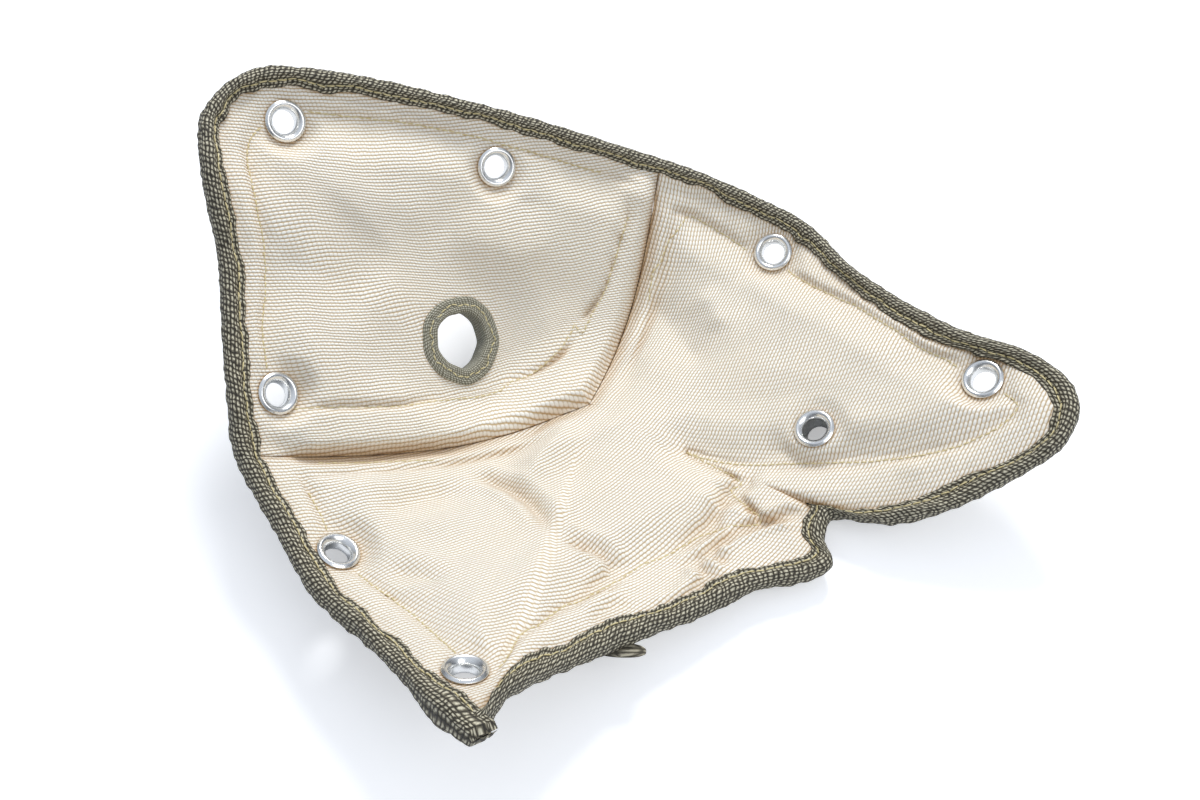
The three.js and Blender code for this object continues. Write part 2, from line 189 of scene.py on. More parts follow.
def newMaterial(name):
    material = bpy.data.materials.new(name)
    material.use_nodes = True
    tree = material.node_tree
    tree.nodes.clear()
    shader = addNode(tree, "BsdfPrincipled")
    addNode(tree, "OutputMaterial", {"Surface": shader})
    return material, tree, shader


def meshPiece(name, points, faces, material, weave=None):
    mesh = bpy.data.meshes.new(name)
    mesh.from_pydata(toWorld(points).tolist(), [], [tuple(face) for face in faces])
    if weave is not None:
        layer = mesh.uv_layers.new(name="weave")
        loops = np.empty(len(mesh.loops), dtype=np.int32)
        mesh.loops.foreach_get("vertex_index", loops)
        layer.uv.foreach_set("vector", weave[loops].astype(np.float32).ravel())
    mesh.shade_smooth()
    mesh.materials.append(material)
    piece = bpy.data.objects.new(name, mesh)
    bpy.context.scene.collection.objects.link(piece)
    return piece


def gridFaces(rows, columns, start=0, closeRows=False, closeColumns=False, flip=False):
    lastRow = rows if closeRows else rows - 1
    lastColumn = columns if closeColumns else columns - 1
    r, c = np.meshgrid(np.arange(lastRow), np.arange(lastColumn), indexing="ij")
    nextR, nextC = (r + 1) % rows, (c + 1) % columns
    quads = np.stack([r * columns + c, nextR * columns + c,
                      nextR * columns + nextC, r * columns + nextC], axis=-1).reshape(-1, 4) + start
    return quads[:, ::-1] if flip else quads


def waves(points, seed, wavelengths):  # soft seeded unevenness from a few crossing waves
    rng = np.random.default_rng(seed)
    total = np.zeros(points.shape[:-1])
    for length, size in wavelengths:
        for _ in range(5):
            direction = unit(rng.normal(size=3))
            phase = rng.uniform(0, 2 * math.pi)
            total += size / 2.2 * np.sin(points @ direction * 2 * math.pi / length + phase)
    return total


def lineDistance(points, line):  # distance to a polyline, how far along it, and on which side (left is 1)
    best = np.full(points.shape[:-1], 1e9)
    along, side = np.zeros(points.shape[:-1]), np.ones(points.shape[:-1])
    walked = 0.0
    for start, end in zip(line[:-1], line[1:]):
        run = end - start
        length = np.linalg.norm(run)
        away = points - start
        t = np.clip(away @ run / length**2, 0, 1)
        distance = np.linalg.norm(away - t[..., None] * run, axis=-1)
        closer = distance < best
        best = np.where(closer, distance, best)
        along = np.where(closer, walked + t * length, along)
        side = np.where(closer, np.sign(run[0] * away[..., 1] - run[1] * away[..., 0]), side)
        walked += length
    return best, along, side


def spaced(line, count):  # evenly spaced points along a smooth curve through the given ones
    line = np.asarray(line, dtype=float)
    padded = np.concatenate([[2 * line[0] - line[1]], line, [2 * line[-1] - line[-2]]])
    t = np.linspace(0, 1, 12, endpoint=False)[:, None]
    dense = []
    for p0, p1, p2, p3 in zip(padded[:-3], padded[1:-2], padded[2:-1], padded[3:]):
        dense.append(0.5 * (2 * p1 + (p2 - p0) * t + (2 * p0 - 5 * p1 + 4 * p2 - p3) * t**2
                            + (3 * p1 - p0 - 3 * p2 + p3) * t**3))
    dense = np.concatenate(dense + [line[-1:]])
    walked = np.concatenate([[0], np.cumsum(np.linalg.norm(np.diff(dense, axis=0), axis=1))])
    want = np.linspace(0, walked[-1], count)
    return np.stack([np.interp(want, walked, dense[:, k]) for k in range(dense.shape[1])], axis=-1)


# Materials

silicaTwill = {
    "yarn": "#FBF9F1",  # lit yarn of bleached silica
    "shade": "#BC9C66",  # painted shade between the ribs, in the grooves of the weave
    "fold": "#C49C5C",  # painted shade in deep folds, seams and creases, laid on by ambient occlusion
    "ribPitch": 1.15,  # mm from one twill rib to the next
    "floatLength": 1.5,  # mm that a yarn floats before it dives
    "reliefMm": 0.3,
    "roughness": 0.8,
}


def twillMaterial(name, look):  # silica twill, woven and heat cleaned: soft diagonal ribs, satin sheen
    material, tree, shader = newMaterial(name)
    uv = addNode(tree, "UVMap", uv_map="weave")
    wander = addNode(tree, "TexNoise", {"Vector": uv, "Scale": 0.09, "Detail": 2.0})
    axes = addNode(tree, "SeparateXYZ", {"Vector": uv})
    ribPlace = addNode(tree, "Math", {0: wander, 1: 1.4, 2: axes.outputs[1]}, operation="MULTIPLY_ADD")
    turns = addNode(tree, "Math", {0: ribPlace, 1: 1 / look["ribPitch"]}, operation="MULTIPLY")
    rib = addNode(tree, "Math", {0: turns}, operation="FRACT")
    ribNumber = addNode(tree, "Math", {0: turns}, operation="FLOOR")
    ribWave = addNode(tree, "Math", {0: rib, 1: math.pi}, operation="MULTIPLY")
    ribHeight = addNode(tree, "Math", {0: ribWave}, operation="SINE")
    stagger = addNode(tree, "Math", {0: ribNumber, 1: 0.37 * look["floatLength"], 2: axes},
                      operation="MULTIPLY_ADD")
    floatTurn = addNode(tree, "Math", {0: stagger, 1: math.pi / look["floatLength"]},
                        operation="MULTIPLY")
    floatWave = addNode(tree, "Math", {0: floatTurn}, operation="SINE")
    floatHeight = addNode(tree, "Math", {0: floatWave}, operation="ABSOLUTE")
    lifted = addNode(tree, "Math", {0: floatHeight, 1: 0.6, 2: 0.4}, operation="MULTIPLY_ADD")
    relief = addNode(tree, "Math", {0: ribHeight, 1: lifted}, operation="MULTIPLY")
    fuzz = addNode(tree, "TexNoise", {"Vector": uv, "Scale": 2.6, "Detail": 3.0})
    rough = addNode(tree, "Math", {0: fuzz, 1: 0.25, 2: relief}, operation="MULTIPLY_ADD")
    # painted shade: the twill colour goes from yarn to shade as the rib relief sinks into its grooves
    tone = addNode(tree, "MapRange", {"Value": rough, "From Min": 0.16, "From Max": 0.78})
    cloudy = addNode(tree, "TexNoise", {"Vector": uv, "Scale": 0.035, "Detail": 3.0})
    base = addNode(tree, "Mix", {"Factor": tone, 6: linear(look["shade"]), 7: linear(look["yarn"])},
                   data_type="RGBA")
    tint = addNode(tree, "MapRange", {"Value": cloudy, "From Min": 0.3, "From Max": 0.75,
                                      "To Min": 0.0, "To Max": 0.16})
    mixed = addNode(tree, "Mix", {"Factor": tint, 6: base.outputs[2], 7: linear("#E9D6B4")},
                    data_type="RGBA")
    # painted shade: ambient occlusion darkens the colour in folds, seams and creases
    foldOcclusion = addNode(tree, "AmbientOcclusion", {"Distance": 0.009}, samples=8)
    fold = addNode(tree, "MapRange", {"Value": foldOcclusion.outputs["AO"], "From Min": 0.45, "From Max": 0.92,
                                      "To Min": 0.8, "To Max": 0.0})
    folded = addNode(tree, "Mix", {"Factor": fold, 6: mixed.outputs[2], 7: linear(look["fold"])},
                     data_type="RGBA", blend_type="MULTIPLY")
    bump = addNode(tree, "Bump", {"Height": rough, "Distance": look["reliefMm"] / 1000, "Strength": 1.0})
    feed(tree, shader, {"Base Color": folded.outputs[2], "Normal": bump, "Roughness": look["roughness"],
                        "Sheen Weight": 0.15, "Sheen Roughness": 0.5})
    return material


# shade is painted shade between the humps, glint a painted highlight on their tops
wovenTapes = {
    "edge": {"yarn": "#7B7460", "shade": "#2B261C", "glint": "#D6D0B8", "bead": (1.8, 1.2), "reliefMm": 0.35},
    "hole": {"yarn": "#9C9988", "shade": "#5E5A46", "glint": "#C6C3B2", "bead": (1.0, 0.75), "reliefMm": 0.2},
    "cover": {"yarn": "#7C7563", "shade": "#3A3528", "glint": "#A8A28D", "bead": (1.8, 1.6), "reliefMm": 0.2},
}


# Basalt yarn, twisted and woven in humps: painted shade between them, with painted highlights (glints) on
# single fibres
def tapeMaterial(name, look):
    material, tree, shader = newMaterial(name)
    length, width = look["bead"]
    uv = addNode(tree, "UVMap", uv_map="weave")
    stray = addNode(tree, "TexNoise", {"Vector": uv, "Scale": 0.4, "Detail": 2.0}).outputs[1]
    even = addNode(tree, "VectorMath", {0: uv, 1: (1 / length, 1 / width, 0)}, operation="MULTIPLY")
    uneven = addNode(tree, "VectorMath", {0: stray, 1: (1.6, 0.8, 0), 2: even}, operation="MULTIPLY_ADD")
    axes = addNode(tree, "SeparateXYZ", {"Vector": uneven}).outputs
    turn = addNode(tree, "Math", {0: axes[1], 1: 0.3, 2: axes[0]}, operation="MULTIPLY_ADD")
    waved = []
    for value in (turn, axes[1]):
        angle = addNode(tree, "Math", {0: value, 1: math.pi}, operation="MULTIPLY")
        wave = addNode(tree, "Math", {0: angle}, operation="SINE")
        waved.append(addNode(tree, "Math", {0: wave}, operation="ABSOLUTE"))
    hump = addNode(tree, "Math", {0: waved[0], 1: waved[1]}, operation="MULTIPLY")
    bead = addNode(tree, "Math", {0: hump, 1: 0.55}, operation="POWER")
    drawn = addNode(tree, "VectorMath", {0: uv, 1: (1.3, 3.6, 0)}, operation="MULTIPLY")
    fibres = addNode(tree, "TexNoise", {"Vector": drawn, "Scale": 1.0, "Detail": 4.0})
    height = addNode(tree, "Math", {0: fibres, 1: 0.7, 2: bead}, operation="MULTIPLY_ADD")
    # painted shade: the colour darkens from yarn to shade down the sides of each hump
    body = addNode(tree, "MapRange", {"Value": height, "From Min": 0.6, "From Max": 1.15})
    tone = addNode(tree, "Mix", {"Factor": body, 6: linear(look["shade"]), 7: linear(look["yarn"])},
                   data_type="RGBA").outputs[2]
    # painted highlight: the highest humps and fibres take the glint colour
    lit = addNode(tree, "MapRange", {"Value": height, "From Min": 1.06, "From Max": 1.34})
    glints = addNode(tree, "Mix", {"Factor": lit, 6: tone, 7: linear(look["glint"])}, data_type="RGBA")
    bump = addNode(tree, "Bump", {"Height": height, "Distance": look["reliefMm"] / 1000, "Strength": 1.0})
    feed(tree, shader, {"Base Color": glints.outputs[2], "Normal": bump, "Roughness": 0.6})
    return material


fibreLooks = {
    "thread": {"dark": "#BCA869", "light": "#F0E6BC", "scale": 1400.0, "detail": 2.0, "spread": 0.5,
               "relief": 0.0001, "strength": 0.6, "roughness": 0.5},  # pale yellow with a slight gloss
    "mat": {"dark": "#D9D4C6", "light": "#F7F5EE", "scale": 500.0, "detail": 6.0, "spread": 0.7,
            "relief": 0.0004, "strength": 0.8, "roughness": 0.95},  # matt white with loose fibres
}


def fibreMaterial(name, look):  # twisted or needled fibres, far finer than the piece
    material, tree, shader = newMaterial(name)
    place = addNode(tree, "TexCoord").outputs["Object"]
    fibres = addNode(tree, "TexNoise", {"Vector": place, "Scale": look["scale"], "Detail": look["detail"],
                                        "Roughness": look["spread"]})
    tone = addNode(tree, "Mix", {"Factor": fibres, 6: linear(look["dark"]), 7: linear(look["light"])},
                   data_type="RGBA")
    bump = addNode(tree, "Bump", {"Height": fibres, "Distance": look["relief"], "Strength": look["strength"]})
    feed(tree, shader, {"Base Color": tone.outputs[2], "Normal": bump, "Roughness": look["roughness"]})
    return material


def steelMaterial():  # stainless steel, pressed and tumbled bright: near mirror with faint scuffs
    material, tree, shader = newMaterial("stainless steel pressed and polished")
    place = addNode(tree, "TexCoord").outputs["Object"]
    scuffs = addNode(tree, "TexNoise", {"Vector": place, "Scale": 900.0, "Detail": 4.0})
    dull = addNode(tree, "MapRange", {"Value": scuffs, "To Min": 0.16, "To Max": 0.34})
    feed(tree, shader, {"Roughness": dull, "Base Color": linear("#EDEDEB"), "Metallic": 1.0})
    return material


linerTwill = twillMaterial("silica twill woven", silicaTwill)
edgeTape = tapeMaterial("basalt tape woven", wovenTapes["edge"])
holeTape = tapeMaterial("basalt tape fine woven", wovenTapes["hole"])
coverCloth = tapeMaterial("basalt cloth plain woven", wovenTapes["cover"])
thread = fibreMaterial("aramid sewing thread", fibreLooks["thread"])
steel = steelMaterial()
silicaMat = fibreMaterial("silica mat needled", fibreLooks["mat"])
print("materials made")

# Where the eyelets and the sensor hole sit

eyeletInset = blanket["bindingWidth"] + eyelets["clearance"] + eyelets["flangeRadius"]
eyeletSeats = {name: (place, float(shareAtInset(np.array(place), eyeletInset + extra)))
               for name, (place, extra) in eyelets["row"].items()}
eyeletSeats.update(eyelets["wing"])
eyeletCentres = {name: outerFace(place, share) for name, (place, share) in eyeletSeats.items()}
holeCentre = outerFace(sensorHole["place"], sensorHole["share"])
holeAxis = unit(liftAt(sensorHole["place"], sensorHole["share"]) + sensorHole["lean"])

# Quilted layers

quilt = {
    "pocketInset": {  # place along the edge, and how far in the pocket's stitch line runs
        "upper": [(37, 18), (38.1, 16), (38.7, 12), (39.3, 11), (40.4, 13), (41.3, 14), (42.5, 16),
                  (43.3, 15), (44, 15.5), (45.5, 13), (46.7, 10), (47.7, 8.5), (50, 8.5)],
        "lower": [(8, 13), (9.1, 14), (10.6, 19), (11.5, 16), (12.7, 10), (13.6, 9.5), (14.8, 12), (16.2, 20),
                  (16.8, 18), (17.6, 23), (18.1, 25), (18.7, 29), (19.5, 40), (21, 40), (23.5, 33), (25, 29),
                  (27.2, 27.5), (28.6, 26), (29.9, 19), (30.9, 17.5), (32, 24), (32.9, 18.5), (34.2, 17),
                  (35.8, 15), (37, 16)]},
    "pocketRise": {"upper": 17.0, "lower": 15.0},
    # stitched line beside both seams of the upper panel, and how far it runs from them in the lower one
    "upperSeamLine": [(-122, -20, 48), (-104, -16, 38), (-89, -10, 29), (-74, -4, 20), (-61, 3, 13),
                      (-49, 9, 6), (-38, 15, 2), (-26, 21, 0), (-16, 29, 0), (-10, 38, 2), (-6, 48, 5),
                      (1, 58, 12), (6, 69, 23), (10, 78, 32), (13, 95, 45)],
    "lowerSeamGap": 8.0,
    "roll": {"upper": 5.8, "lower": 2.2},  # height of the roll along the seam
    "rollFront": {"upper": 4.5, "lower": 6.0},
    "seamRise": {"upper": 9.0, "lower": 9.0},
    "seamGroove": {"upper": 1.5, "lower": 1.0},
    "crown": 1.8,
    "marginPuff": 1.1,
    "groove": (1.4, 1.3),  # depth and width of a stitched line
    "spokes": {True: 4, False: 12},  # grid lines for each edge point, quick and full
    "rings": {True: 40, False: 104},
    "softness": [(80, 0.9), (36, 0.36), (15, 0.06)],
    "creaseDepth": 2.3,
    "bendReach": 20.0,
    "bendAside": 0.6,  # places either way
    "holeLevel": 8.8,
    "wingLevel": 6.4,
    "leastLevel": 4.0,  # the softened bend stays above the pad
}

# Creases of the panels: points, depth (a ridge is negative) and width
creases = {
    "upper": [
        ([(-114, 24, 67), (-104, 27, 60), (-91, 29, 50), (-78, 32, 40)], 1.0, 12.0),
        ([(-106, 54, 74), (-90, 60, 65), (-73, 61, 55), (-60, 58, 44)], -0.8, 14.0),
        ([(-48, 76, 55), (-39, 74, 47), (-28, 74, 42), (-17, 77, 38)], 0.8, 7.0),
    ],
    "lower": [
        ([(76, -40, 7), (65, -39, 5), (53, -43, 3), (45, -47, 4), (39, -52, 5), (36, -56, 6), (30, -59, 6),
          (24, -64, 8)], 1.7, 1.5),
        ([(60, -16, 4), (48, -27, 2), (42, -35, 1), (36, -45, 3), (31, -49, 4), (25, -54, 5)], 1.2, 2.4),
        ([(32, -58, 7), (33, -61, 7), (36, -66, 8)], 1.3, 1.6),
        ([(36, -55, 6), (39, -57, 6), (43, -58, 7)], 1.2, 1.6),
        ([(40, -62, 8), (34, -70, 10), (31, -74, 11), (27, -78, 13), (22, -81, 13), (14, -82, 14)], 2.0, 2.4),
        ([(-3, -88, 20), (2, -84, 17), (6, -80, 15), (9, -76, 13)], 1.5, 3.0),
        ([(-52, -24, 3), (-40, -27, 2), (-31, -31, 2), (-24, -38, 4), (-19, -47, 7), (-16, -60, 12)],
         1.25, 2.6),
        ([(-16, -56, 12), (-10, -56, 9), (-1, -58, 7), (5, -62, 8), (12, -62, 8)], 1.2, 2.4),
        ([(-5, -75, 15), (1, -70, 11), (6, -63, 9), (11, -60, 7)], 1.2, 2.2),
        ([(-9, 6, 0), (-13, -3, 0), (-17, -11, 0), (-22, -20, 0), (-25, -33, 2)], -1.6, 5.0),
        ([(-75, -53, 18), (-70, -45, 15), (-60, -38, 10), (-46, -32, 5)], 1.1, 6.0),
        ([(-69, -71, 22), (-63, -74, 22), (-56, -76, 22), (-48, -79, 23)], 0.9, 3.0),
        ([(18, 58, 9), (26, 45, 3), (33, 34, 1), (42, 20, 2)], 0.9, 7.0),
        ([(38, 56, 11), (45, 47, 8), (48, 36, 6)], -0.7, 6.0),
        ([(52, -8, 5), (72, -18, 8), (88, -24, 13), (106, -26, 19)], 0.6, 6.0),
    ],
}


def insetOf(place, share):
    return (1 - share) * spokeScale(place)


def seamDistance(panel, base):
    seams = [outerFace(seam, np.linspace(0, 1, 30)) for seam in blanket["panels"][panel]]
    return np.minimum(*(lineDistance(base, line)[0] for line in seams))


def pillow(panel, place, share, base):  # height of the liner's face over the outer face
    inset = insetOf(place, share)
    seamGap = seamDistance(panel, base)
    table = np.array(quilt["pocketInset"][panel], dtype=float)
    turned = np.where(place < blanket["panels"][panel][0] - 0.01, place + edgeCount, place)
    lineInset = np.interp(turned, table[:, 0], table[:, 1])
    linePlace = np.linspace(table[0, 0], table[-1, 0], 90)
    line = outerFace(linePlace, shareAtInset(linePlace, np.interp(linePlace, table[:, 0], table[:, 1])))
    fromEdge = np.sign(inset - lineInset) * lineDistance(base, line)[0]
    fromSeam = seamGap - quilt["lowerSeamGap"]
    if panel == "upper":
        away, _, side = lineDistance(base, spaced(quilt["upperSeamLine"], 60))
        fromSeam = away * side
    room = blanket["padThickness"][panel] + blanket["sewnGap"]
    full = room * ease(fromEdge, -1.5, quilt["pocketRise"][panel])
    full = full + quilt["crown"] * ease(np.minimum(fromEdge, fromSeam), 5, 55)
    roll = quilt["roll"][panel] * ease(fromEdge, -7, 5)
    rising = ease(seamGap, -0.4, quilt["rollFront"][panel])
    height = roll * rising + (full - roll) * ease(fromSeam, -1.0, quilt["seamRise"][panel])
    depth, width = quilt["groove"]
    height = height - depth * np.exp(-(fromEdge / width)**2) * ease(fromSeam, -2, 3)
    depth = depth * quilt["seamGroove"][panel] * ease(share, 0.12, 0.35 if panel == "lower" else 0.13)
    height = height - depth * np.exp(-(fromSeam / width)**2) * ease(fromEdge, -3, 3)
    loose = ease(inset, 8.5, 20) * ease(seamGap, 0.5, 9)
    seed = 3 if panel == "upper" else 8
    height = height + loose * waves(base, seed, quilt["softness"])
    ruffle = np.exp(-((fromEdge + 3) / 5)**2) * ease(inset, 8, 10)
    height = height + ruffle * waves(base, seed + 1, [(9, 0.22), (5.5, 0.12)])
    puff = np.sin(math.pi * np.clip((inset - 7) / np.maximum(lineInset - 7, 1), 0, 1))
    height = height + quilt["marginPuff"] * puff * ease(seamGap, 2, 10)
    for line, deep, wide in creases[panel]:
        line = np.array(line, dtype=float)
        total = np.sum(np.linalg.norm(np.diff(line, axis=0), axis=1))
        away, along, _ = lineDistance(base, line)
        taper = ease(along, -0.5, total * 0.3) * (1 - ease(along, total * 0.7, total + 0.5))
        taper = taper * np.exp(-(np.maximum(away - 4 * wide, 0) / 3)**2)
        shape = np.exp(-(away / wide)**1.5) - 0.4 * np.exp(-((away - 2.3 * wide) / wide)**2)
        height = height - deep * quilt["creaseDepth"] * taper * shape * ease(inset, 7.5, 11)
    return blanket["coverThickness"] + 1.3 + np.maximum(height, -0.2)


def seated(points, seat):  # drawn flat under the eyelets and the hole binding
    points = points.copy()
    spots = [(eyeletCentres[name], liftAt(*eyeletSeats[name]),
              seat["wing" if name in eyelets["wing"] else "row"], seatFlat["eyelet"], seat["far"])
             for name in eyeletSeats]
    spots.append((holeCentre, holeAxis, seat["hole"], seatFlat["hole"], seat["holeFar"]))
    for centre, axis, level, inner, outer in spots:
        along = (points - centre) @ axis
        away = np.linalg.norm(points - centre - along[..., None] * axis, axis=-1)
        weight = (1 - ease(away, inner, outer)) * (np.abs(along) < 25)
        points += axis * ((level - along) * weight)[..., None]
    return points


def softened(surface, place, share):  # the filling rounds off the bend at the belly
    spoke = np.linalg.norm(outerFace(place, 1) - outerFace(place, 0), axis=-1)
    reach = np.minimum(quilt["bendReach"] / spoke, np.minimum(share, np.maximum(1 - share, 0)))
    aside = quilt["bendAside"] * ease(spoke * (1 - share), 8, 45) * ease(share, 0.05, 0.3)
    first, last = place[:1], place[-1:]
    aside = np.minimum(aside, np.minimum(place - first, last - place))
    steps = [(up, over) for up in np.linspace(-1, 1, 7) for over in np.linspace(-1, 1, 5)]
    return sum(surface(place + over * aside, share + up * reach) for up, over in steps) / len(steps)


def panelGrid(panel, spokesEach, rings):
    first, last = blanket["panels"][panel]
    place = np.linspace(first, last, int((last - first) * spokesEach) + 1)[:, None]
    share = np.linspace(0.002, 1, rings)[None, :] * shareAtInset(place, blanket["clothInset"])
    place, share = np.broadcast_arrays(place, share)
    base = outerFace(place, share)
    for edge, inner in ((0, 1), (-1, -2)):
        base[edge] += unit((base[inner] - base[edge]) * np.array([1, 1, 0])) * blanket["sewnGap"] / 2
    return place, share, base, liftAt(place, share)


def shellPiece(name, under, over, material, weave, skip):  # closed all round, at its edge and at its holes
    rows, columns = under.shape[:2]
    size = rows * columns
    top = gridFaces(rows, columns, size)[~skip.ravel()]
    edges = np.concatenate([top[:, [k, (k + 1) % 4]] for k in range(4)])
    shared = np.isin(edges @ [2 * size, 1], edges @ [1, 2 * size])
    rim = edges[~shared]
    walls = np.stack([rim[:, 1], rim[:, 0], rim[:, 0] - size, rim[:, 1] - size], axis=-1)
    points = np.concatenate([under.reshape(-1, 3), over.reshape(-1, 3)])
    faces = np.concatenate([top, top[:, ::-1] - size, walls])
    return meshPiece(name, points, faces, material, np.concatenate([weave, weave]))


# Millimetres in the panel's mean plane, turned to the run of the yarns
def weaveLayout(base, turn, bend=0.0):
    flat = base.reshape(-1, 3)
    middle = flat.mean(axis=0)
    normal = np.linalg.svd(flat[::7] - middle, full_matrices=False)[2][2]
    normal = normal * np.sign(normal[2])
    across = unit(np.cross(normal, [1.0, 0.0, 0.0]))
    along = np.cross(across, normal)
    angle = math.radians(turn)
    u = (flat - middle) @ (along * math.cos(angle) + across * math.sin(angle))
    v = (flat - middle) @ (across * math.cos(angle) - along * math.sin(angle))
    if bend:
        radius = bend - v
        u, v = bend * np.arctan2(u, radius), bend - np.hypot(u, radius)
    return np.stack([u, v], axis=-1)


linerCut = {
    "upper": {"ribTurn": 9.0, "bend": 900.0, "flat": (0.175, 0.165), "area": 0.0173},
    "lower": {"ribTurn": 50.0, "bend": 280.0, "flat": (0.285, 0.265), "area": 0.0281},
}
seats = {  # level of each layer's face, and how far round it is drawn flat
    "liner": {"row": edgeStack, "wing": quilt["wingLevel"], "hole": quilt["holeLevel"],
              "far": 13.5, "holeFar": 36.0},
    "pad": {"row": 0.9, "wing": 0.9, "hole": 3.9, "far": 12.0, "holeFar": 25.0},
    "cover": {"row": 0.0, "wing": 0.0, "hole": 3.0, "far": 12.0, "holeFar": 25.0},
}
seatFlat = {"eyelet": 7.4, "hole": 15.5}


def opened(layer, radius):  # faces left out in the eyelets and the sensor hole, and their rims drawn round
    middle = (layer[:-1, :-1] + layer[1:, :-1] + layer[:-1, 1:] + layer[1:, 1:]) / 4
    holes = [(eyeletCentres[name], liftAt(*eyeletSeats[name]), radius) for name in eyeletSeats]
    holes.append((holeCentre, holeAxis, sensorHole["radius"] + 1.9))
    skip = np.zeros(middle.shape[:2], dtype=bool)
    layer = layer.copy()
    for centre, axis, rim in holes:
        def radial(points):
            away = points - centre
            along = (away @ axis)[..., None] * axis
            return along, away - along
        along, out = radial(middle)
        near = np.linalg.norm(along, axis=-1) < 20
        skip |= (np.linalg.norm(out, axis=-1) < rim + 0.7) & near
        along, out = radial(layer)
        reach = np.linalg.norm(out, axis=-1)
        inside = (reach < rim) & (np.linalg.norm(along, axis=-1) < 20)
        layer[inside] = (centre + along + out * (rim / np.maximum(reach, 1e-6))[..., None])[inside]
    return layer, skip


def linerTop(panel, place, share, base):
    lift = unit(softened(liftAt, place, share))
    shift = softened(outerFace, place, share) - outerFace(place, share)
    height = pillow(panel, place, share, base)
    over = base + shift + lift * height[..., None]
    own = liftAt(place, share)
    lacking = np.minimum(height, quilt["leastLevel"]) - np.einsum("...k,...k", over - base, own)
    over += own * np.maximum(lacking, 0)[..., None]
    return seated(over, seats["liner"]), lift


def quiltedPanel(panel):
    place, share, base, lift = panelGrid(panel, quilt["spokes"][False], quilt["rings"][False])
    over, lift = linerTop(panel, place, share, base)
    look = linerCut[panel]
    over, skip = opened(over, eyelets["holeRadius"] + 0.6)
    liner = shellPiece(f"liner_{panel}", over - lift * 0.8, over, linerTwill,
                       weaveLayout(base, look["ribTurn"], look["bend"]), skip)
    inside = tuple(slice(start, -2, 2) for start in (2, 8))
    padCeiling = (over - lift * 0.8)[inside]
    padBase, padLift, padShare = base[inside], lift[inside], share[inside]
    within = insetOf(place[inside], padShare) > 14
    columns = int(within.all(axis=0).sum())
    padBase, padLift = padBase[:, :columns], padLift[:, :columns]
    padUnder = seated(padBase + padLift * 0.9, seats["pad"])
    rise = np.maximum(np.einsum("...k,...k", padCeiling[:, :columns] - padUnder, padLift) * 0.85, 0.3)
    padUnder, skip = opened(padUnder, eyelets["flangeRadius"] + 1.5)
    pad = shellPiece(f"pad_{panel}", padUnder, padUnder + padLift * rise[..., None], silicaMat,
                     weaveLayout(padBase, 0), skip)
    place, share, base, lift = panelGrid(panel, quilt["spokes"][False] // 2 + 1, quilt["rings"][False] // 2)
    seamGap = seamDistance(panel, base)
    tuck = 1.0 * (1 - ease(seamGap, 0, 5)) * ease(insetOf(place, share), 8, 16)
    sag = waves(base, 31, [(60, 0.3), (25, 0.2)]) * ease(insetOf(place, share), 9, 20) * ease(share, 0.1, 0.5)
    under = seated(base + lift * (tuck + np.maximum(sag, 0))[..., None], seats["cover"])
    under, skip = opened(under, eyelets["holeRadius"] + 0.6)
    cover = shellPiece(f"cover_{panel}", under, under + lift * 0.8, coverCloth, weaveLayout(base, 0), skip)
    return liner, pad, cover


liners, covers, pads = {}, {}, {}
for panel in blanket["panels"]:
    liners[panel], pads[panel], covers[panel] = quiltedPanel(panel)
    for piece, node, slot in ((liners[panel], "liner_panel_", "liner_cloth"),
                              (pads[panel], "insulation_pad_", "insulation"),
                              (covers[panel], "outer_cover_", "cover_cloth")):
        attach(piece, "root")
        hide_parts(node + panel)
print("quilted layers made")

# Edge binding

binding = {
    "section": [(7.8, 2.4), (7.6, 3.0), (6.8, 3.4), (5.9, 3.3), (5.25, 2.9), (4.6, 3.8), (3.2, 4.7),
                (1.6, 4.5), (0.3, 3.2), (0.0, 1.3), (0.3, -0.6), (1.7, -1.9), (3.4, -2.1), (4.7, -1.5),
                (5.25, -1.0), (6.2, -1.4), (7.4, -1.1), (7.7, -0.5)],  # inset and height of its outer face
    "inner": [(7.6, -0.35), (1.7, -0.35), (1.6, 1.15), (1.7, 2.4), (7.6, 2.4)],
    "columns": {True: 26, False: 50},
    "steps": {True: 420, False: 1500},
    "threadInset": 5.25,
    "lumps": [(6.5, 0.16), (3.1, 0.13)],
    # width of the tape along the edge, by place
    "narrowing": [(0, 0.9), (2, 0.8), (12, 0.8), (15, 0.92), (19, 1), (35, 1), (39, 0.97), (42, 0.9)],
    "squaring": (33.9, 32.9),  # places over which the tape comes square to its edge
    "endPlace": 32.55,  # from here its end runs straight past the corner
    "runPast": 12.5,
    "endLift": 1.9,  # it lies on the start of the tape
}


def tapeRun(steps):  # places along the edge at even steps of real length, from the corner all the way round
    lastTurn = blanket["cornerPlace"] + edgeCount - binding["endPlace"]
    turn = np.linspace(0, lastTurn, 4000)
    walked = np.concatenate([[0], np.cumsum(np.linalg.norm(
        np.diff(edgeAt(blanket["cornerPlace"] - turn), axis=0), axis=1))])
    length = np.linspace(0, walked[-1] + binding["runPast"], steps)
    turn = np.interp(length, walked, turn)
    past = np.maximum(length - walked[-1], 0)
    return turn, length, past


